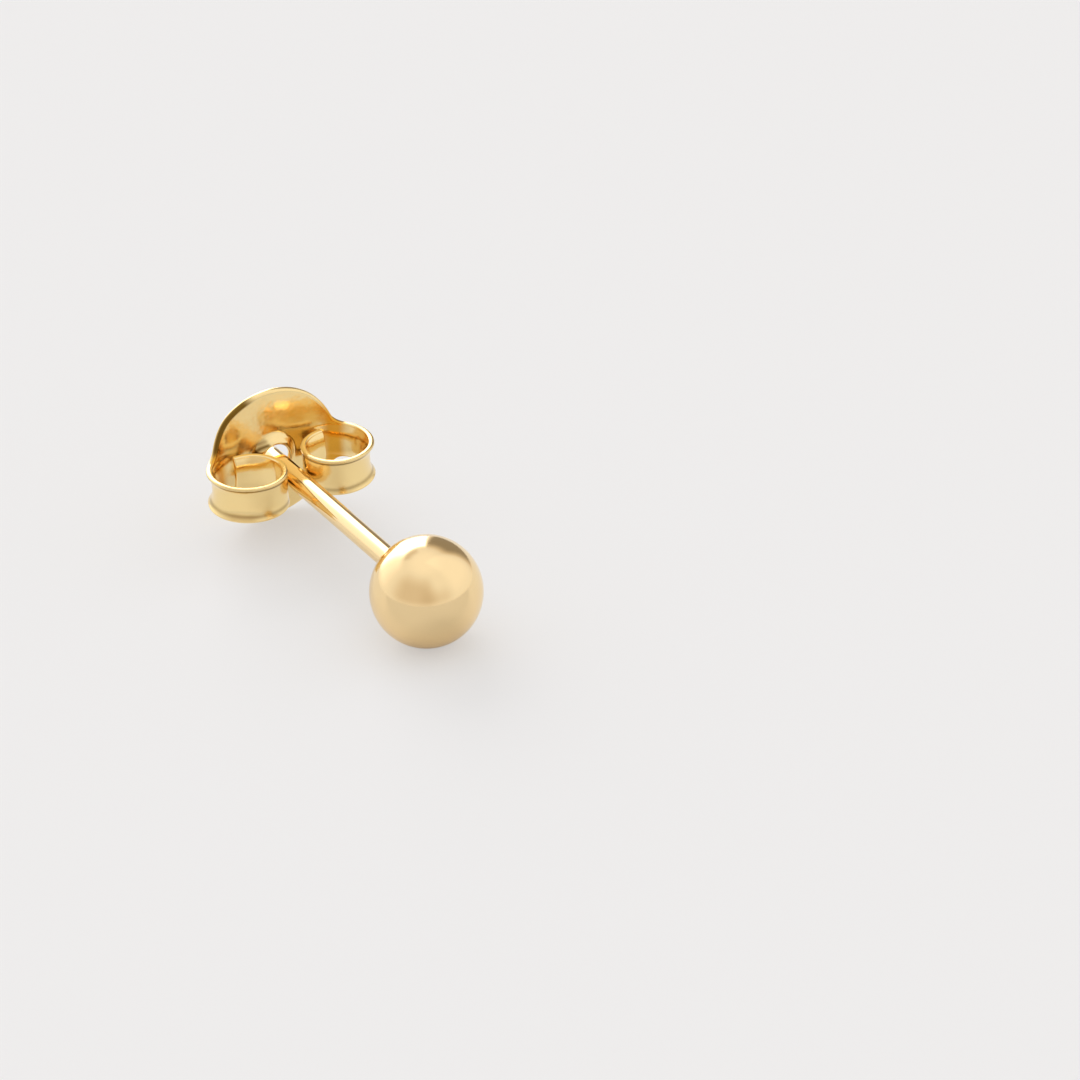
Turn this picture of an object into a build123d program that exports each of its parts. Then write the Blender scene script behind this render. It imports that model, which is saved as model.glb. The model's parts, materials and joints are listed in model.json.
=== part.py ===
from build123d import *
import os
from math import asin, atan2, cos, hypot, sin

# Ball stud earring: a polished ball soldered to a straight post, with its butterfly back on the post.
# It lies as it would by itself, on the ball and on the short flat at the bottom of the back's disc.
# Millimetres, +Z up, the ball towards -Y. The origin is on the surface it lies on, under its middle.

# Ball and post
BALL_RADIUS = 2.0
POST_RADIUS = 0.4
POST_LENGTH = 11.0          # from the ball's surface to the free end
POST_END_ROUND = 0.25
SOLDER_FILLET = 0.12
NOTCH_STATION = 11.5        # from the ball's centre to the middle of the friction notch
NOTCH_WIDTH = 0.62
NOTCH_DEPTH = 0.08

# Butterfly back: a stamped round disc whose two arms curl forward into scrolls
SHEET = 0.22                # thickness of the strip
DISC_RADIUS = 2.75
DISC_HALF_HEIGHT = 2.65     # the top and bottom of the disc keep the straight edges of the strip
HOLE_RADIUS = 0.56
DIMPLE_RADIUS = 0.95        # the foot of the dimple pressed forward round the hole
DIMPLE_HEIGHT = 0.3
DIMPLE_LIP = 0.06           # width of its top round the hole
ARM_HALF_HEIGHT = 0.72
ARM_ROOT_FILLET = 0.5       # concave corner where the disc narrows to an arm
WAIST = 0.18                # how far an arm's face is pressed in between its two rims

# Route of the strip's rear face seen from above, for one arm: out from the disc's middle, then curling
DISC_RUN = 1.66             # flat stretch from the middle to where the curl starts
ROOT_RADIUS = 1.65
ROOT_TURN = 80.0
FRONT_RADIUS = 1.56
FRONT_TURN = 100.0
INNER_RADIUS = 1.3          # the bend up to where the scroll grips the post
INNER_TURN = 90.0
TAIL_RADIUS = 1.35          # the bend from there back to the free end
TAIL_TURN = 82.0
END_RUN = 0.25

# The waist fades in along the root of an arm: distance from the disc's middle, share of the full waist.
# The share is never zero, so that every section is made of the same arcs.
WAIST_FADE = ((0.0, 0.02), (0.9, 0.02), (1.6, 0.25), (2.3, 0.7), (2.9, 0.95))

# It fades out again towards the post: distance from the start of the front curl, share of the full waist
WAIST_EASE = ((0.0, 1.0), (1.8, 1.0), (2.7, 0.8), (3.4, 0.45), (4.0, 0.2), (4.7, 0.15))
GRIP_SHARE = 0.15           # what is left of it from the grip to the free end

# How the back sits on the post
DISC_STATION = 11.2         # from the ball's centre to the disc's rear face, along the post
BACK_RISE = 0.13            # the back's middle above the post's axis

# Rest: the post rises towards the back, with the ball and the disc's lower front edge on the surface
edge_run = DISC_STATION - SHEET
edge_drop = DISC_HALF_HEIGHT - BACK_RISE
rise = atan2(edge_drop, edge_run) - asin(BALL_RADIUS / hypot(edge_run, edge_drop))
backward = Vector(0, cos(rise), sin(rise))
upward = Vector(0, -sin(rise), cos(rise))
reach = (BALL_RADIUS + POST_LENGTH) * cos(rise)
ball_centre = Vector(0, (BALL_RADIUS - reach) / 2, BALL_RADIUS)
disc_centre = ball_centre + backward * DISC_STATION + upward * BACK_RISE
notch_tube = (NOTCH_WIDTH**2 / 4 + NOTCH_DEPTH**2) / (2 * NOTCH_DEPTH)

post_frame = Plane(origin=ball_centre, x_dir=(1, 0, 0), z_dir=backward)
disc_front_view = Plane(origin=disc_centre, x_dir=(1, 0, 0), z_dir=backward * -1)
arm_top_view = Plane(origin=disc_centre, x_dir=(1, 0, 0), z_dir=upward * -1)

os.makedirs("parts", exist_ok=True)


def strip_section(route, distance, half_height, waist_share):
    """Face of the strip across its route: flat, but pressed in between the rims of the arm."""
    share = distance / route.length
    travel = route % share
    waist = WAIST * waist_share
    rim = ARM_HALF_HEIGHT
    with BuildSketch(Plane(origin=route @ share, x_dir=upward.cross(travel), z_dir=travel)) as section:
        with BuildLine():
            if half_height > rim:
                Line((0, half_height), (0, rim))
                Line((0, -rim), (0, -half_height))
                Line((-SHEET, -half_height), (-SHEET, -rim))
                Line((-SHEET, rim), (-SHEET, half_height))
            ThreePointArc((0, rim), (-waist, 0), (0, -rim))
            ThreePointArc((-SHEET, -rim), (-SHEET - waist, 0), (-SHEET, rim))
            Line((0, -half_height), (-SHEET, -half_height))
            Line((-SHEET, half_height), (0, half_height))
        make_face()
    return section.sketch.face()


# Ball stud: the post is soldered into the ball, so the two are one solid
with BuildPart(post_frame) as ball_stud:
    Sphere(BALL_RADIUS)
    Cylinder(POST_RADIUS, BALL_RADIUS + POST_LENGTH, align=(Align.CENTER, Align.CENTER, Align.MIN))
    post_circles = ball_stud.edges().filter_by(GeomType.CIRCLE).group_by(SortBy.RADIUS)[0]
    fillet(post_circles.sort_by(Axis.Y)[-1], POST_END_ROUND)
    fillet(post_circles.sort_by(Axis.Y)[0], SOLDER_FILLET)
    # The friction notch, a shallow groove near the free end that the back clicks into
    with Locations((0, 0, NOTCH_STATION)):
        Torus(POST_RADIUS - NOTCH_DEPTH + notch_tube, notch_tube, mode=Mode.SUBTRACT)

# Butterfly back: the right arm's half first, then its mirror image
with BuildLine(arm_top_view) as root_line:
    disc_run = Line((0, 0), (DISC_RUN, 0))
    root_curl = JernArc(disc_run @ 1, disc_run % 1, ROOT_RADIUS, ROOT_TURN)
with BuildLine(arm_top_view) as scroll_line:
    front_curl = JernArc(root_curl @ 1, root_curl % 1, FRONT_RADIUS, FRONT_TURN)
    inner_curl = JernArc(front_curl @ 1, front_curl % 1, INNER_RADIUS, INNER_TURN)
    tail_curl = JernArc(inner_curl @ 1, inner_curl % 1, TAIL_RADIUS, TAIL_TURN)
    end_run = PolarLine(tail_curl @ 1, END_RUN, direction=tail_curl % 1)
root_route = root_line.wires()[0]
scroll_route = scroll_line.wires()[0]

with BuildPart() as butterfly_back:
    # The sheet of the disc, curving forward into the arm, as a tall wall cut to the stamped outline
    stations = WAIST_FADE + ((root_route.length, 1.0),)
    wall_half_height = DISC_HALF_HEIGHT + SHEET
    wall_sections = [strip_section(root_route, run, wall_half_height, share) for run, share in stations]
    sweep(sections=wall_sections, path=root_route, multisection=True)
    with BuildSketch(disc_front_view.offset(-SHEET)) as outline:
        Circle(DISC_RADIUS)
        Rectangle(2 * DISC_RADIUS, 2 * DISC_HALF_HEIGHT, mode=Mode.INTERSECT)
        Rectangle(2 * (DISC_RUN + ROOT_RADIUS), 2 * ARM_HALF_HEIGHT)
        disc_corners = outline.vertices().group_by(Axis.X)[-2]
        fillet(disc_corners, ARM_ROOT_FILLET)
    extrude(amount=2 * ROOT_RADIUS, mode=Mode.INTERSECT)

    # The arm's scroll
    scroll_stations = WAIST_EASE + ((scroll_route.length, GRIP_SHARE),)
    scroll_sections = [strip_section(scroll_route, run, ARM_HALF_HEIGHT, share) for run, share in scroll_stations]
    sweep(sections=scroll_sections, path=scroll_route, multisection=True)
    mirror(about=Plane.YZ)

    # The dimple is raised on the front face and hollow behind, and the hole goes through its top
    with Locations(disc_front_view.offset(SHEET)):
        Cone(DIMPLE_RADIUS, HOLE_RADIUS + DIMPLE_LIP, DIMPLE_HEIGHT, align=(Align.CENTER, Align.CENTER, Align.MIN))
    with Locations(disc_front_view):
        Cone(DIMPLE_RADIUS - DIMPLE_LIP, HOLE_RADIUS, DIMPLE_HEIGHT, align=(Align.CENTER, Align.CENTER, Align.MIN),
             mode=Mode.SUBTRACT)
    with BuildSketch(disc_front_view.offset(-SHEET)):
        Circle(HOLE_RADIUS)
    extrude(amount=DIMPLE_HEIGHT + 3 * SHEET, mode=Mode.SUBTRACT)

ball_stud.part.label = "ball_stud"
export_step(ball_stud.part, "parts/ball_stud.step")
butterfly_back.part.label = "butterfly_back"
export_step(butterfly_back.part, "parts/butterfly_back.step")
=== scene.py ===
"""Looks of the ball stud earring: a polished ball on a post, and the butterfly back on the post.

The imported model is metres, +Z up, with the ball towards -Y. Shapes below are worked out in
millimetres in the post's own frame: x across, y along the post from the ball's centre, z square to
both.
"""
import json
import math

import bpy
import numpy as np
from mathutils import Matrix


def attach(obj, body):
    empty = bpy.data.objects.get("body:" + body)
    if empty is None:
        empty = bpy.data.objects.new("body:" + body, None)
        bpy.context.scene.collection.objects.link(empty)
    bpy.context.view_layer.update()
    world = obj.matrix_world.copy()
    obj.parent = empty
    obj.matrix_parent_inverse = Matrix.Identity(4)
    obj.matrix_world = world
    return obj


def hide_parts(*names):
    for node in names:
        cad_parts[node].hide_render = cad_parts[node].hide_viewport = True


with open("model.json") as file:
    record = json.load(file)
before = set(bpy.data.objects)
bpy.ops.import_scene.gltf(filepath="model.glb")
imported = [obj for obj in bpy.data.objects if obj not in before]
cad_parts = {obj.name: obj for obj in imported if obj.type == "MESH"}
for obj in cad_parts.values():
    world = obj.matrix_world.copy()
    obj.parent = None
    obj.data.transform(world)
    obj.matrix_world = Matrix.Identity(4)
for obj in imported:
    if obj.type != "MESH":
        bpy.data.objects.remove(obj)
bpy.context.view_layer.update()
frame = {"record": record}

MM = 0.001
slide = np.array(frame["record"]["behaviour"]["joints"][0]["axis"], float)
slide /= np.linalg.norm(slide)
across = np.array([1.0, 0.0, 0.0])
upright = np.cross(across, slide)

# ---------------------------------------------------------------- sizes, mm

BALL_RADIUS = 2.0
POST_RADIUS = 0.4
POST_TIP = 13.0             # from the ball's centre
POST_END_ROUND = 0.25
SOLDER_FILLET = 0.12
NOTCH_STATION = 11.5        # middle of the friction notch
NOTCH_WIDTH = 0.62
NOTCH_DEPTH = 0.08

SHEET = 0.22                # thickness of the back's strip
EDGE_ROUND = 0.075          # the strip's edges after tumbling
LEAST_ROUND = 0.004         # what is left of a rounding at the strip's free ends
DISC_FRONT_ROUND = 0.12     # the disc's edge is rolled over by the cutting die
DISC_REAR_ROUND = 0.05
ARM_ROUND_FROM, ARM_ROUND_OVER = 1.9, 0.9   # where the disc's roundings turn into the arm's
DISC_STATION = 11.2         # the disc's rear face
BACK_RISE = 0.13            # the back's middle above the post's axis
DISC_RADIUS = 2.70
DISC_HALF_HEIGHT = 2.647
DISC_BOW = 0.11             # how far its top and bottom are bowed back
BOW_GONE, BOW_FADE = 3.2, 1.2   # where along the strip the bow ends, and over how much it fades
HOLE_RADIUS = 0.56
HOLE_ROUND = 0.06
DIMPLE_RADIUS = 0.95        # the dimple round the hole
DIMPLE_HEIGHT = 0.30
ARM_HALF_HEIGHT = 0.72
ARM_ROOT_FILLET = 0.5
WAIST = 0.18                # how far an arm's face is pressed in between its rims
LIP = 3.0                   # how suddenly the waist turns out into the lips
WAIST_STARTS, WAIST_FULL = 0.8, 3.2
WAIST_EASES, GRIP = 5.4, 8.3    # it eases off again up to the grip on the post
GRIP_SHARE = 0.15
TAIL_STARTS, TAIL_FULL, TAIL_SHARE = 8.9, 10.2, 0.9  # and comes back towards the free end

# The strip's route, one arm: (length, radius, turn in degrees); a straight run has no radius
ROUTE = ((1.66, None, 0.0), (None, 1.65, 80.0), (None, 1.56, 100.0), (None, 1.3, 90.0),
         (None, 1.35, 82.0), (0.25, None, 0.0))

# How finely each stretch of the shapes is stepped
BALL_STEPS, FILLET_STEPS, POST_STEPS, NOTCH_STEPS, TIP_STEPS = 150, 10, 38, 12, 12
SPOKES = 288                # round the post's axis
ROW_STEP = 0.045            # along the strip, mm
FACE_STEPS = 73             # across each of its faces
EDGE_STEPS = 7              # round each corner of its edge
END_STEPS = 7               # round its free ends
HOLE_STEPS = 6              # round each rim of the hole
PATCH_ROWS, PATCH_COLUMNS = 12, 7   # half the patch that is opened into the hole, in cells
PATCH_REACH = 2.6           # how far out its neighbours move too, in patch sizes
TINY = 1e-9                 # stands for a distance of nothing, so that it can divide

# Painted shade and painted reflection zones of the back's plate. A zone is (start, rise, end,
# fall).
SHEARED_ZONE = (100, 14, 166, 8)    # degrees round the disc
SHEARED_FROM, SHEARED_OVER = 0.03, 0.06     # depth in the sheet
EDGE_SHARE = 0.999          # share of the half height past which a point is on the edge
RIM_LINES_FROM, RIM_LINES_OVER = 3.2, 0.4   # along the strip
# Painted shade lines under the upper rim and above the lower one: middle and half width, from the
# rim
UPPER_RIM_SHADE, UPPER_RIM_LINE = 0.9, (0.06, 0.045)
LOWER_RIM_SHADE, LOWER_RIM_LINE = 0.5, (0.17, 0.08)
# Painted dark reflections on one flank of the dimple, as two strokes:
STROKE_ZONE = (104, 12, 164, 12)    # degrees round the dimple
# Each stroke: shade, then the middle and half width of the line, from the hole's middle
STROKES = ((1.0, 0.70, 0.06), (0.7, 0.86, 0.06))
STROKE_WIND, STROKE_MIDDLE = 0.0045, 118    # mm outwards with each degree, counted from this one
# Where the painted reflection deepens the gold inside the bends
CROOK_ZONE = (1.9, 0.6, 3.35, 0.5)  # mm along the strip

POST_END_STATION = 12.28    # where the record's post_end mount is
post_end = next(mount for mount in frame["record"]["mounts"] if mount["name"] == "post_end")
ball_centre = np.array(post_end["pos_m"], float) - POST_END_STATION * MM * slide


def placed(x, y, z):
    """Points of the post's frame in mm, as metres in the model's frame."""
    local = np.stack(np.broadcast_arrays(x, y, z), axis=-1)
    return ball_centre + MM * (local @ np.stack([across, slide, upright]))


def new_piece(name, points, faces, body, node, shades=()):
    """A smooth mesh piece that rides on a body and stands for a CAD node.

    Each of shades is a name and a number at each point.
    """
    mesh = bpy.data.meshes.new(name)
    mesh.from_pydata(points.tolist(), [], faces)
    mesh.polygons.foreach_set("use_smooth", np.ones(len(faces), bool))
    mesh.update()
    for label, shade in shades:
        numbers = mesh.attributes.new(label, "FLOAT", "POINT").data
        numbers.foreach_set("value", shade.astype(np.float32))
    piece = bpy.data.objects.new(name, mesh)
    bpy.context.collection.objects.link(piece)
    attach(piece, body)
    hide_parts(node)
    return piece


# ---------------------------------------------------------------- ball and post

def arc(centre, radius, start, end, steps):
    """Points of an arc in the (along, out) plane, angles in degrees from the along axis."""
    turn = np.radians(np.linspace(start, end, steps))
    return centre[0] + radius * np.cos(turn), centre[1] + radius * np.sin(turn)


def stud_profile():
    """Outline from the ball's front pole to the tip: ball, solder fillet, wire, notch, round end.

    The fillet touches the ball and the wire, and the notch is an arc as deep and as wide as given.
    """
    fillet_out = POST_RADIUS + SOLDER_FILLET
    fillet_along = math.sqrt((BALL_RADIUS + SOLDER_FILLET) ** 2 - fillet_out**2)
    lean = math.degrees(math.atan2(fillet_out, fillet_along))
    notch_radius = (NOTCH_WIDTH**2 / 4 + NOTCH_DEPTH**2) / (2 * NOTCH_DEPTH)
    notch_half = math.degrees(math.asin(NOTCH_WIDTH / 2 / notch_radius))
    notch = (NOTCH_STATION, POST_RADIUS - NOTCH_DEPTH + notch_radius)
    wire = np.linspace(fillet_along, NOTCH_STATION - NOTCH_WIDTH / 2, POST_STEPS + 2)[1:-1]
    tip = (POST_TIP - POST_END_ROUND, POST_RADIUS - POST_END_ROUND)
    stretches = [
        arc((0, 0), BALL_RADIUS, 180, lean, BALL_STEPS),
        arc((fillet_along, fillet_out), SOLDER_FILLET, 180 + lean, 270, FILLET_STEPS),
        (wire, np.full(POST_STEPS, POST_RADIUS)),
        arc(notch, notch_radius, 270 - notch_half, 270 + notch_half, NOTCH_STEPS),
        arc(tip, POST_END_ROUND, 90, 0, TIP_STEPS),
        (np.array([POST_TIP]), np.array([0.0])),
    ]
    along, out = (np.concatenate(part) for part in zip(*stretches))
    out[0] = 0.0
    return along, out


def ball_stud():
    """The outline turned about the post's axis: along * axis + out * (cos turn, sin turn)."""
    along, out = stud_profile()
    turn = np.linspace(0, 2 * np.pi, SPOKES, endpoint=False)
    ring_along, ring_out = along[1:-1, None], out[1:-1, None]
    rings = placed(ring_out * np.cos(turn), ring_along + 0 * turn, ring_out * np.sin(turn))
    pole, end = placed(0, along[0], 0), placed(0, along[-1], 0)
    points = np.concatenate([pole[None], rings.reshape(-1, 3), end[None]])
    index = 1 + np.arange(ring_along.size * SPOKES).reshape(-1, SPOKES)
    after = np.roll(index, -1, axis=1)
    walls = np.stack([index[:-1], index[1:], after[1:], after[:-1]], axis=-1).reshape(-1, 4)
    front = np.stack([np.zeros(SPOKES, int), index[0], after[0]], axis=-1)
    tip = np.stack([np.full(SPOKES, len(points) - 1), after[-1], index[-1]], axis=-1)
    faces = walls.tolist() + front.tolist() + tip.tolist()
    piece = new_piece("stud_ball_and_post", points, faces, "stud", "ball_stud")
    # the second finish, drawn wire, is on the walls behind the ball and on the tip
    on_post = np.repeat(along[1:-2] > BALL_RADIUS, SPOKES)
    finish = np.concatenate([on_post, np.zeros(SPOKES, bool), np.ones(SPOKES, bool)])
    piece.data.polygons.foreach_set("material_index", finish.astype(np.int32))
    return piece


# ---------------------------------------------------------------- butterfly back

def route(run):
    """Place and heading of the strip's rear face at each distance from the disc's middle, one arm.

    Each stretch is a straight line or an arc that leaves in the direction in which the last one
    ended. The arm's whole length comes third.
    """
    place = np.zeros((len(run), 2))
    heading = np.zeros(len(run))
    start, corner, facing = 0.0, np.zeros(2), 0.0
    for length, radius, turn in ROUTE:
        turn = math.radians(turn)
        here = run >= start
        forward = np.array([math.cos(facing), math.sin(facing)])
        side = np.array([-forward[1], forward[0]])
        if radius:
            length = radius * turn
            angle = np.clip(run - start, 0, length) / radius
            ahead, left = radius * np.sin(angle), radius * (1 - np.cos(angle))
            end_ahead, end_left = radius * math.sin(turn), radius * (1 - math.cos(turn))
        else:
            ahead = run - start
            angle = left = 0 * ahead
            end_ahead, end_left = length, 0.0
        place[here] = (corner + ahead[:, None] * forward + left[:, None] * side)[here]
        heading[here] = (facing + angle)[here]
        corner = corner + end_ahead * forward + end_left * side
        facing += turn
        start += length
    return place, heading, start


def half_height(out):
    """Half height of the stamped outline at a distance out from the middle: disc, corner, arm.

    The disc is a circle, drawn in a little at its top and bottom by a share that fades out towards
    its sides. The concave corner is an arc that touches the disc and the arm.
    """
    corner_up = ARM_HALF_HEIGHT + ARM_ROOT_FILLET
    reach = DISC_RADIUS + ARM_ROOT_FILLET
    corner_out = math.sqrt(reach**2 - corner_up**2)
    meet = corner_out * DISC_RADIUS / reach
    disc = np.sqrt(np.clip(DISC_RADIUS**2 - out**2, 0, None))
    drawn_in = np.clip(1 - (out / DISC_RADIUS) ** 2, 0, None) ** 2
    disc -= (DISC_RADIUS - DISC_HALF_HEIGHT) * drawn_in
    corner = corner_up - np.sqrt(np.clip(ARM_ROOT_FILLET**2 - (out - corner_out) ** 2, 0, None))
    return np.where(out < meet, disc, np.where(out < corner_out, corner, ARM_HALF_HEIGHT))


def smooth(x):
    """0 up to 0, 1 from 1 on, and three squares less two cubes of x between them."""
    x = np.clip(x, 0, 1)
    return x * x * (3 - 2 * x)


def within(value, start, rise, end, fall):
    """1 inside a zone: a smooth rise after its start, times a smooth fall before its end."""
    return smooth((value - start) / rise) * smooth((end - value) / fall)


def band(distance, middle, half_width):
    """1 at the middle of a line and falling off on both sides of it, as e to minus the square."""
    return np.exp(-((distance - middle) / half_width) ** 2)


def section(inset, stretch, front_round, rear_round):
    """The strip's closed section: front face, edge, rear face, edge.

    It comes as share of the half height, loss of height, and depth from the rear face. A face runs
    straight across; an edge is a quarter circle, a short flat and a quarter circle. Inset draws the
    whole section in by that much, which rounds the strip's free ends.
    """
    across_face = np.linspace(-1, 1, FACE_STEPS)[None]
    turn = np.linspace(0, np.pi / 2, EDGE_STEPS)[None, 1:]
    inset, stretch = inset[:, None], stretch[:, None]
    level = 0 * across_face

    def corner(rounding):
        """Its loss of height and of depth at each step, and its loss of height at the start."""
        rounding = np.maximum(rounding[:, None] - inset, LEAST_ROUND)
        loss = rounding * stretch * (1 - np.sin(turn)) + inset
        return loss, rounding * (1 - np.cos(turn)) + inset, rounding * stretch + inset

    front_loss, front_sink, front_start = corner(front_round)
    rear_loss, rear_sink, rear_start = corner(rear_round)
    one = np.ones_like(front_loss)
    shares = [across_face + 0 * inset, one, one, -across_face + 0 * inset, -one, -one]
    losses = [front_start + level, front_loss, rear_loss[:, ::-1],
              rear_start + level, rear_loss, front_loss[:, ::-1]]
    depths = [SHEET - inset + level, SHEET - front_sink, rear_sink[:, ::-1],
              inset + level, rear_sink, SHEET - front_sink[:, ::-1]]
    return np.concatenate(shares, 1), np.concatenate(losses, 1), np.concatenate(depths, 1)


def strip_points(run_grid, height_grid, depth_grid):
    """The strip's surface: the route, moved sideways by depth, waist, dimple and bow, up by height.

    The waist is full at mid height and falls off towards the rims as a power of the height. The
    dimple is a smooth step down from the hole's rim to its foot. The disc bows back as the square
    of the height, fading out along the arms.
    """
    run, z = np.abs(run_grid).ravel(), height_grid.ravel()
    place, heading, _ = route(run)
    waist = WAIST * smooth((run - WAIST_STARTS) / (WAIST_FULL - WAIST_STARTS))
    waist *= 1 - (1 - GRIP_SHARE) * smooth((run - WAIST_EASES) / (GRIP - WAIST_EASES))
    tail = smooth((run - TAIL_STARTS) / (TAIL_FULL - TAIL_STARTS))
    waist += WAIST * (TAIL_SHARE - GRIP_SHARE) * tail
    pressed = waist * np.clip(1 - np.abs(z / (ARM_HALF_HEIGHT - EDGE_ROUND)) ** LIP, 0, None)
    from_foot = DIMPLE_RADIUS - np.hypot(run, z)
    dimple = DIMPLE_HEIGHT * smooth(from_foot / (DIMPLE_RADIUS - HOLE_RADIUS - HOLE_ROUND))
    bow = DISC_BOW * (z / DISC_HALF_HEIGHT) ** 2 * smooth((BOW_GONE - run) / BOW_FADE)
    depth = depth_grid.ravel() + pressed + dimple - bow
    x = np.sign(run_grid.ravel()) * (place[:, 0] - np.sin(heading) * depth)
    forward = place[:, 1] + np.cos(heading) * depth
    return placed(x, DISC_STATION - forward, BACK_RISE + z).reshape(*run_grid.shape, 3)


def edge_shade(along, height, share, depth):
    """How much painted shade the strip's surface carries, 0 to 1, as the largest of three parts.

    A painted dark reflection lies on the front half of the disc's sheared edge, on one side, fading
    out towards the top. The outer face of the arms has painted shade: a fine line under the upper
    rim and a wider one above the lower rim. The dimple has two painted dark reflections on one
    flank, strokes that wind slowly outwards.
    """
    round_disc = np.degrees(np.arctan2(height, along))
    # painted dark reflection along one side of the disc's sheared edge
    sheared = (np.abs(share) > EDGE_SHARE) * smooth((depth - SHEARED_FROM) / SHEARED_OVER)
    sheared = sheared * within(round_disc, *SHEARED_ZONE)
    # painted shade lines under the upper rim and above the lower one
    under_rim = UPPER_RIM_SHADE * band((1 - share) * ARM_HALF_HEIGHT, *UPPER_RIM_LINE)
    above_rim = LOWER_RIM_SHADE * band((1 + share) * ARM_HALF_HEIGHT, *LOWER_RIM_LINE)
    on_arm = smooth((np.abs(along) - RIM_LINES_FROM) / RIM_LINES_OVER) * (depth < SHEET / 2)
    # painted dark reflections on the dimple's flank, two strokes
    from_hole = np.hypot(along, height) - STROKE_WIND * (round_disc - STROKE_MIDDLE)
    strokes = sum(shade * band(from_hole, *line) for shade, *line in STROKES)
    strokes = strokes * within(round_disc, *STROKE_ZONE) * (depth > SHEET / 2)
    return np.maximum(np.maximum(sheared, strokes), (under_rim + above_rim) * on_arm)


def crook_shade(along, depth):
    """Painted reflection of gold in gold, 0 to 1: deeper inside the bend between the disc and an
    arm.
    """
    return within(np.abs(along), *CROOK_ZONE) * (depth > SHEET / 2)


def walls_between(rings):
    """Four-sided faces from each closed ring of point numbers to the next."""
    after = np.roll(rings, -1, axis=1)
    return np.stack([rings[:-1], after[:-1], after[1:], rings[1:]], axis=-1)


def butterfly_back():
    """One closed skin along both arms: the section at each distance along the strip.

    A square patch at the middle of each face is opened into the round hole: each point near the
    patch slides from its place in the grid to the same direction on the hole's rim.
    """
    _, _, arm = route(np.array([0.0]))
    whole = int(round((arm - EDGE_ROUND) / ROW_STEP))
    runs = np.linspace(0, arm - EDGE_ROUND, whole + 1)
    turn = np.linspace(0, np.pi / 2, END_STEPS)[1:]
    half_runs = np.concatenate([runs, arm - EDGE_ROUND * (1 - np.sin(turn))])
    half_inset = np.concatenate([0 * runs, EDGE_ROUND * (1 - np.cos(turn))])
    run = np.concatenate([-half_runs[:0:-1], half_runs])
    inset = np.concatenate([half_inset[:0:-1], half_inset])
    out = route(np.abs(run))[0][:, 0]
    # after a quarter turn of its first bend the strip is past the stamped outline, and even
    past_outline = np.abs(run) > ROUTE[0][0] + ROUTE[1][1] * math.pi / 2
    height = half_height(out)
    height[past_outline] = ARM_HALF_HEIGHT
    stretch = np.sqrt(1 + np.gradient(height, run) ** 2)
    on_arm = np.where(past_outline, 1.0, smooth((out - ARM_ROUND_FROM) / ARM_ROUND_OVER))
    front_round = DISC_FRONT_ROUND + (EDGE_ROUND - DISC_FRONT_ROUND) * on_arm
    rear_round = DISC_REAR_ROUND + (EDGE_ROUND - DISC_REAR_ROUND) * on_arm
    share, loss, depth = section(inset, stretch, front_round, rear_round)
    z = share * height[:, None] - share * loss
    along = np.repeat(run[:, None], z.shape[1], 1)

    # open the hole in the front face and in the rear face
    rim = HOLE_RADIUS + HOLE_ROUND
    middle, half_face = len(run) // 2, (FACE_STEPS - 1) // 2
    rear_first = FACE_STEPS + 2 * (EDGE_STEPS - 1)
    front_face = np.arange(FACE_STEPS)
    rear_face = rear_first + front_face[::-1]
    ring = np.maximum(np.abs(np.arange(len(run)) - middle)[:, None] / PATCH_ROWS,
                      np.abs(front_face - half_face)[None] / PATCH_COLUMNS)
    blend = np.clip((ring - 1) / (PATCH_REACH - 1), 0, 1)
    for face in (front_face, rear_face):
        from_middle = np.maximum(np.hypot(along[:, face], z[:, face]), TINY)
        scale = blend + (1 - blend) * rim / from_middle
        along[:, face] *= scale
        z[:, face] *= scale

    grid = strip_points(along, z, depth)
    rows, columns = grid.shape[:2]
    index = np.arange(rows * columns).reshape(rows, columns)
    cells = walls_between(index)
    keep = np.ones(cells.shape[:2], bool)
    i0, i1 = middle - PATCH_ROWS, middle + PATCH_ROWS
    j0, j1 = half_face - PATCH_COLUMNS, half_face + PATCH_COLUMNS
    keep[i0:i1, j0:j1] = False
    keep[i0:i1, rear_first + j0:rear_first + j1] = False
    faces = cells[keep].tolist()

    # the hole's rim and wall: rings between the two openings
    def loop(table, face):
        """What a table holds round the opening in a face, in order."""
        table = table[:, face]
        return np.concatenate([table[i0:i1, j0], table[i1, j0:j1],
                               table[i1:i0:-1, j1], table[i0, j1:j0:-1]])

    spoke = np.arctan2(loop(z, front_face), loop(along, front_face))
    turn = np.linspace(0, np.pi / 2, HOLE_STEPS)[1:]
    hole_out = HOLE_RADIUS + HOLE_ROUND * (1 - np.sin(turn))
    sink = HOLE_ROUND * (1 - np.cos(turn))
    ring_out = np.concatenate([hole_out, hole_out[::-1]])[:, None]
    ring_depth = np.concatenate([SHEET - sink, sink[::-1]])[:, None] + 0 * spoke
    ring_points = strip_points(ring_out * np.cos(spoke), ring_out * np.sin(spoke), ring_depth)
    ring_index = index.size + np.arange(ring_depth.size).reshape(ring_depth.shape)
    rings = [loop(index, front_face)[None], ring_index, loop(index, rear_face)[None]]
    faces += walls_between(np.concatenate(rings)).reshape(-1, 4).tolist()

    # the strip's free ends: front face joined to rear face, and a small patch at each edge
    for row, turned in ((0, False), (rows - 1, True)):
        front, rear = index[row, front_face], index[row, rear_face]
        patches = np.stack([front[:-1], rear[:-1], rear[1:], front[1:]], axis=-1).tolist()
        top = index[row, FACE_STEPS - 1:rear_first + 1].tolist()
        bottom = index[row, rear_first + FACE_STEPS - 1:].tolist() + [int(index[row, 0])]
        patches += [top[::-1], bottom[::-1]]
        faces += [patch[::-1] for patch in patches] if turned else patches

    points = np.concatenate([grid.reshape(-1, 3), ring_points.reshape(-1, 3)])
    in_hole = np.zeros(ring_depth.size)
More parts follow.
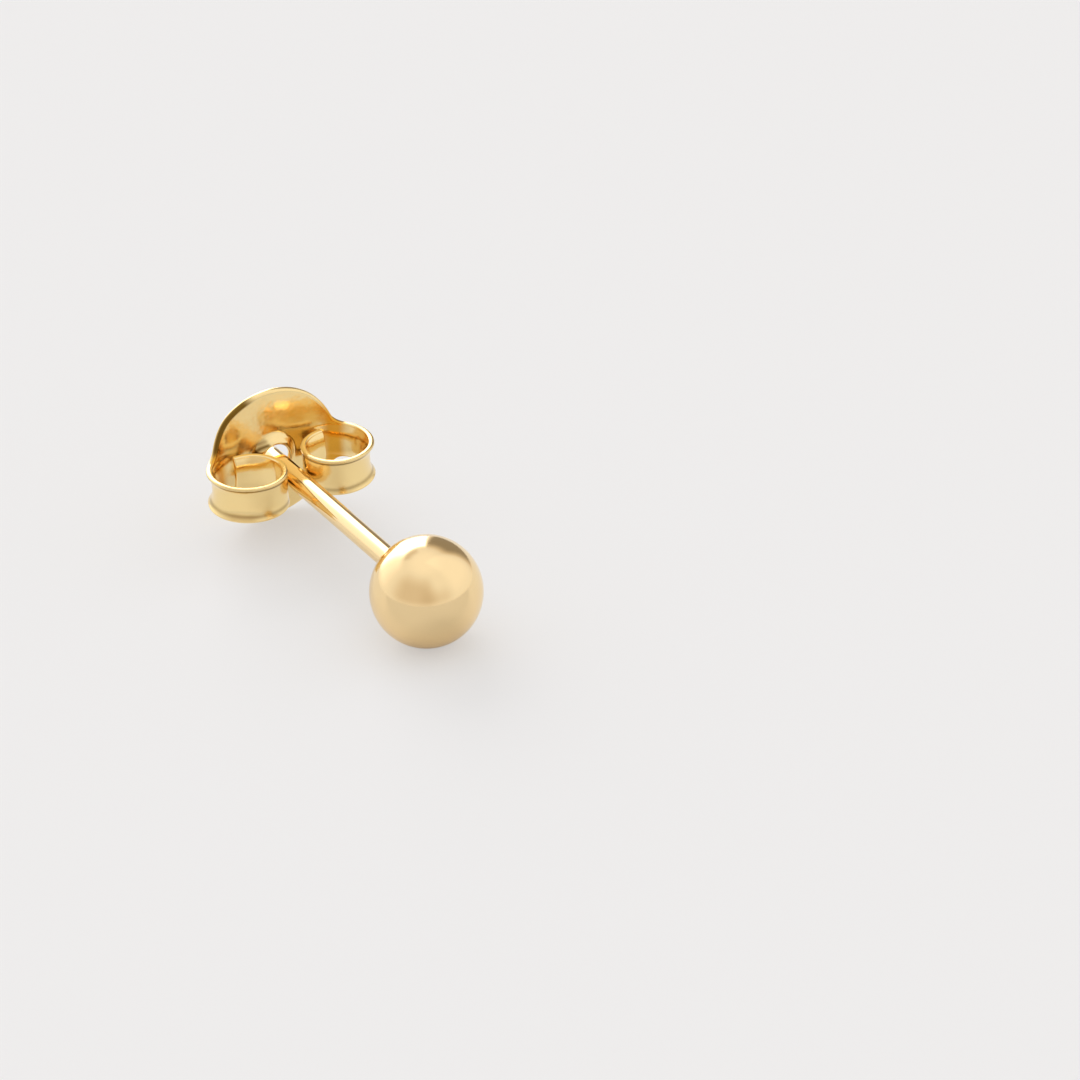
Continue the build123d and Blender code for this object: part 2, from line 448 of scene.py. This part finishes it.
    # painted shade and painted reflection, carried as a number at each point
    painted_shade = np.concatenate([edge_shade(along, z, share, depth).ravel(), in_hole])
    painted_reflection = np.concatenate([crook_shade(along, depth).ravel(), in_hole])
    shades = (("edge_shade", painted_shade), ("crook_shade", painted_reflection))
    return new_piece("back_disc_and_scrolls", points, faces, "back", "butterfly_back", shades)


stud = ball_stud()
back = butterfly_back()


# ---------------------------------------------------------------- finishes

def linear(code):
    """An sRGB hex colour as linear light."""
    values = [int(code[i:i + 2], 16) / 255 for i in (1, 3, 5)]
    light = [v / 12.92 if v <= 0.04045 else ((v + 0.055) / 1.055) ** 2.4 for v in values]
    return (*light, 1.0)


def node(tree, kind, settings=None, **links):
    """Add a node, set its properties and sockets, and link what is given as (node, output).

    A socket is given by its name, or as i and its number.
    """
    made = tree.nodes.new(kind)
    for name, value in (settings or {}).items():
        setattr(made, name, value)
    for name, value in links.items():
        numbered = name[0] == "i" and name[1:].isdigit()
        socket = made.inputs[int(name[1:]) if numbered else name.replace("_", " ")]
        if isinstance(value, tuple) and isinstance(value[0], bpy.types.Node):
            tree.links.new(value[0].outputs[value[1]], socket)
        else:
            socket.default_value = value
    return made


EVEN = (1, 1, 1)                        # a pattern that isn't drawn out in any direction
WAVES_DETAIL, GRAIN_DETAIL = 2.0, 3.0
WAVES_STRENGTH = 0.5
NOISE_LOW, NOISE_HIGH = 0.3, 0.7        # between these lies most of a noise


def gold(name, colour, roughness, spread, waves_mm, waves_high, grain_mm, waves_scale=EVEN,
         grain_scale=EVEN, tones=()):
    """Polished gold plate: a mirror with faint waves from polishing and a fine grain in its gloss.

    Each of tones is the name of a shade that the piece carries and the colour that it brings in.
    """
    material = bpy.data.materials.new(name)
    material.use_nodes = True
    tree = material.node_tree
    tree.nodes.clear()
    place = node(tree, "ShaderNodeTexCoord")
    waves_place = node(tree, "ShaderNodeMapping", Vector=(place, "Object"), Scale=waves_scale)
    waves = node(tree, "ShaderNodeTexNoise", Vector=(waves_place, "Vector"),
                 Scale=1 / (waves_mm * MM), Detail=WAVES_DETAIL)
    bump = node(tree, "ShaderNodeBump", Height=(waves, "Fac"), Strength=WAVES_STRENGTH,
                Distance=waves_high * MM)
    grain_place = node(tree, "ShaderNodeMapping", Vector=(place, "Object"), Scale=grain_scale)
    grain = node(tree, "ShaderNodeTexNoise", Vector=(grain_place, "Vector"),
                 Scale=1 / (grain_mm * MM), Detail=GRAIN_DETAIL)
    gloss = node(tree, "ShaderNodeMapRange", Value=(grain, "Fac"), From_Min=NOISE_LOW,
                 From_Max=NOISE_HIGH, To_Min=roughness - spread, To_Max=roughness + spread)
    for label, other in tones:
        shade = node(tree, "ShaderNodeAttribute", {"attribute_name": label})
        tone = node(tree, "ShaderNodeMix", {"data_type": "RGBA"}, i0=(shade, "Fac"), i6=colour,
                    i7=other)
        colour = (tone, 2)
    skin = node(tree, "ShaderNodeBsdfPrincipled", Base_Color=colour, Metallic=1.0,
                Roughness=(gloss, "Result"), Normal=(bump, "Normal"))
    node(tree, "ShaderNodeOutputMaterial", Surface=(skin, "BSDF"))
    return material


PALE_GOLD = linear("#FDE1AC")
SHEET_GOLD = linear("#FCE0A0")
# Colour that the painted shade and painted dark reflections bring into the back's plate
PAINTED_SHADE_GOLD = linear("#7C5E24")
# Colour that the painted reflection inside the bends brings into the back's plate
PAINTED_REFLECTION_GOLD = linear("#E6A83C")
PAPER_GREY = linear("#E8E8E8")
ROOM_WHITE = linear("#EFEFEF")      # what the camera sees of the room, and the paper's own glow

# Polished gold plate on the ball: a clear mirror, softened a little by buffing.
ball_gold = gold("polished_gold_plate_on_ball", PALE_GOLD, roughness=0.12, spread=0.02,
                 waves_mm=0.8, waves_high=0.002, grain_mm=0.15)
# Polished gold plate on drawn wire: faint lines along the post from the drawing die.
wire_gold = gold("polished_gold_plate_on_drawn_wire", PALE_GOLD, roughness=0.08, spread=0.02,
                 waves_mm=0.3, waves_high=0.002, grain_mm=0.08,
                 waves_scale=(1, 0.1, 1), grain_scale=(1, 0.05, 1))
# Tumbled gold plate on stamped sheet: bright, with the slight waves of a pressed strip.
# Painted shade and painted dark reflections darken parts of its sheared edge, lines along its rims
# and strokes on its dimple, and a painted reflection makes the crooks of its bends a deeper gold.
sheet_gold = gold("tumbled_gold_plate_on_stamped_sheet", SHEET_GOLD, roughness=0.18, spread=0.04,
                  waves_mm=0.6, waves_high=0.03, grain_mm=0.12,
                  tones=(("crook_shade", PAINTED_REFLECTION_GOLD), ("edge_shade", PAINTED_SHADE_GOLD)))

stud.data.materials.append(ball_gold)
stud.data.materials.append(wire_gold)
back.data.materials.append(sheet_gold)

# ---------------------------------------------------------------- floor, light and camera

FLOOR_HALF_SIZE = 1.5               # metres
SEEN_GLOW = 0.5                     # share of the paper's own glow that the camera sees
# In reflections a painted glow makes the paper brighter behind the ball, and a painted shade makes
# it a little darker in front, for the table's end. Both go by the dot product of the place on the
# paper with this vector, in mm.
PAPER_DIRECTION = (0.5, 1.0, 0.0)
BEHIND_FROM, BEHIND_TO, BEHIND_LOW, BEHIND_HIGH = -3.0, 2.0, 0.08, 0.5
IN_FRONT_FROM, IN_FRONT_TO, IN_FRONT_HIGH = -5.5, -9.5, 0.13


def pale_paper():
    """Matt pale paper: plain white light mixed into its skin, by shares that depend on the ray.

    The camera's share is even. The share in reflections rises smoothly from the front to the back.
    Then a share of the reflections meets no light, and rises smoothly towards the table's edge.
    """
    material = bpy.data.materials.new("matt_pale_paper")
    material.use_nodes = True
    tree = material.node_tree
    tree.nodes.clear()
    skin = node(tree, "ShaderNodeBsdfPrincipled", Base_Color=PAPER_GREY, Roughness=1.0,
                Specular_IOR_Level=0.0)
    glow = node(tree, "ShaderNodeEmission", Color=ROOM_WHITE, Strength=1.0)
    ray = node(tree, "ShaderNodeLightPath")
    place = node(tree, "ShaderNodeTexCoord")
    reach = node(tree, "ShaderNodeVectorMath", {"operation": "DOT_PRODUCT"}, i0=(place, "Object"),
                 i1=PAPER_DIRECTION)
    behind = node(tree, "ShaderNodeMapRange", {"interpolation_type": "SMOOTHSTEP"},
                  Value=(reach, 1), From_Min=BEHIND_FROM * MM, From_Max=BEHIND_TO * MM,
                  To_Min=BEHIND_LOW, To_Max=BEHIND_HIGH)
    in_front = node(tree, "ShaderNodeMapRange", {"interpolation_type": "SMOOTHSTEP"},
                    Value=(reach, 1), From_Min=IN_FRONT_FROM * MM, From_Max=IN_FRONT_TO * MM,
                    To_Max=IN_FRONT_HIGH)
    seen_share = node(tree, "ShaderNodeMath", {"operation": "MULTIPLY"}, i0=(ray, "Is Camera Ray"),
                      i1=SEEN_GLOW)
    glow_share = node(tree, "ShaderNodeMath", {"operation": "MULTIPLY_ADD"},
                      i0=(ray, "Is Glossy Ray"), i1=(behind, "Result"), i2=(seen_share, 0))
    dark_share = node(tree, "ShaderNodeMath", {"operation": "MULTIPLY"}, i0=(ray, "Is Glossy Ray"),
                      i1=(in_front, "Result"))
    glowing = node(tree, "ShaderNodeMixShader", i0=(glow_share, 0), i1=(skin, "BSDF"),
                   i2=(glow, "Emission"))
    whole = node(tree, "ShaderNodeMixShader", i0=(dark_share, 0), i1=(glowing, "Shader"))
    node(tree, "ShaderNodeOutputMaterial", Surface=(whole, "Shader"))
    return material


corners = np.array([[-1, -1, 0], [1, -1, 0], [1, 1, 0], [-1, 1, 0]]) * FLOOR_HALF_SIZE
floor_mesh = bpy.data.meshes.new("floor")
floor_mesh.from_pydata(corners.tolist(), [], [(0, 1, 2, 3)])
floor = bpy.data.objects.new("floor", floor_mesh)
bpy.context.collection.objects.link(floor)
floor.data.materials.append(pale_paper())

# The room around the table, by direction: angles round from +Y towards +X and up from the horizon,
# in degrees. Each patch: from, to, soft edge at each (round), then the same (up), and how much
# brighter or darker it is.
ROOM_LEVEL = 0.93
ROOM_PATCHES = (
    (-12, 32, 26, 3, 4, 46, 8, 7, 2.1),         # the window
    (-44, 32, 44, 3, 5, 48, 14, 12, 0.36),      # its glow on the wall
    (35, 73, 4, 18, -25, 44, 10, 24, -0.47),    # the dark side of the window
    (35, 84, 4, 24, -25, 52, 10, 30, -0.15),    # and its soft outer part
    (-30, 12, 12, 14, 50, 62, 6, 12, -0.20),    # the wall above it
    (-180, 180, 1, 1, 66, 95, 26, 1, 0.08),     # the ceiling
    (78, 150, 10, 30, 12, 95, 30, 1, 0.08),     # the right wall
    (-164, -80, 34, 44, 2, 50, 20, 36, -0.21),  # who stands at the table
    (-180, -150, 0.1, 50, 2, 26, 20, 30, -0.13),  # with an arm out to the right
    (158, 180, 34, 0.1, 2, 26, 20, 30, -0.13),  # the rest of that arm
)
# A dim part of the room is also warm: brightness, and the light's colour there.
ROOM_TINTS = (
    (0.2, (1.0, 0.88, 0.72, 1.0)),
    (0.68, (1.0, 0.88, 0.77, 1.0)),
    (0.9, (1.0, 0.98, 0.98, 1.0)),
)


def room():
    """The world: an even pale room with patches that are brighter or darker, each with soft edges.

    A patch is the product of its four edges, times its change, added to the room's level.
    """
    world = bpy.data.worlds.new("room")
    bpy.context.scene.world = world
    world.use_nodes = True
    tree = world.node_tree
    tree.nodes.clear()
    place = node(tree, "ShaderNodeTexCoord")
    parts = node(tree, "ShaderNodeSeparateXYZ", Vector=(place, "Generated"))
    turned = node(tree, "ShaderNodeMath", {"operation": "ARCTAN2"}, i0=(parts, "X"),
                  i1=(parts, "Y"))
    raised = node(tree, "ShaderNodeMath", {"operation": "ARCSINE"}, i0=(parts, "Z"))

    def product(one, other):
        return node(tree, "ShaderNodeMath", {"operation": "MULTIPLY"}, i0=(one, 0), i1=(other, 0))

    def edge(angle, at, soft, inside):
        """0 to 1 with the angle where inside is 1, else 1 to 0, smooth across the soft width."""
        low, high = math.radians(at - soft / 2), math.radians(at + soft / 2)
        return node(tree, "ShaderNodeMapRange", {"interpolation_type": "SMOOTHSTEP"},
                    Value=(angle, "Value"), From_Min=low, From_Max=high,
                    To_Min=1.0 - inside, To_Max=float(inside))

    level = node(tree, "ShaderNodeValue")
    level.outputs[0].default_value = ROOM_LEVEL
    for left, right, soft_left, soft_right, low, high, soft_low, soft_high, change in ROOM_PATCHES:
        span = product(edge(turned, left, soft_left, 1), edge(turned, right, soft_right, 0))
        rise = product(edge(raised, low, soft_low, 1), edge(raised, high, soft_high, 0))
        level = node(tree, "ShaderNodeMath", {"operation": "MULTIPLY_ADD"},
                     i0=(product(span, rise), 0), i1=change, i2=(level, 0))
    tint = node(tree, "ShaderNodeValToRGB", Fac=(level, 0))
    ramp = tint.color_ramp.elements
    while len(ramp) < len(ROOM_TINTS):
        ramp.new(0.5)
    for stop, (at, colour) in zip(ramp, ROOM_TINTS):
        stop.position, stop.color = at, colour
    lit = node(tree, "ShaderNodeBackground", Strength=(level, 0), Color=(tint, "Color"))
    seen = node(tree, "ShaderNodeBackground", Strength=1.0, Color=ROOM_WHITE)
    ray = node(tree, "ShaderNodeLightPath")
    chosen = node(tree, "ShaderNodeMixShader", i0=(ray, "Is Camera Ray"), i1=(lit, "Background"),
                  i2=(seen, "Background"))
    node(tree, "ShaderNodeOutputWorld", Surface=(chosen, "Shader"))


room()

# Camera: seen from the ball's end, from its left and from above; angles in degrees, then mm
AZIMUTH, ELEVATION, ROLL = (math.radians(angle) for angle in (-31.65, 29.513, -2.266))
DISTANCE, RIGHT_OF_BALL, ABOVE_BALL = 120.0, 3.958, 1.787
LENS, SENSOR = 114.8, 36.0
CLIP_START = 2.0
away = np.array([math.sin(AZIMUTH) * math.cos(ELEVATION), -math.cos(AZIMUTH) * math.cos(ELEVATION),
                 math.sin(ELEVATION)])
level_right = np.array([math.cos(AZIMUTH), math.sin(AZIMUTH), 0.0])
level_up = np.cross(away, level_right)
right = math.cos(ROLL) * level_right + math.sin(ROLL) * level_up
up = math.cos(ROLL) * level_up - math.sin(ROLL) * level_right
camera_data = bpy.data.cameras.new("camera")
camera_data.lens = LENS
camera_data.sensor_width = SENSOR
camera_data.clip_start = CLIP_START * MM
camera = bpy.data.objects.new("camera", camera_data)
bpy.context.collection.objects.link(camera)
spot = ball_centre + MM * (away * DISTANCE + right * RIGHT_OF_BALL + up * ABOVE_BALL)
matrix = np.eye(4)
matrix[:3] = np.stack([right, up, away, spot], axis=1)
camera.matrix_world = Matrix(matrix.tolist())
bpy.context.scene.camera = camera
bpy.context.scene.view_settings.view_transform = "Standard"
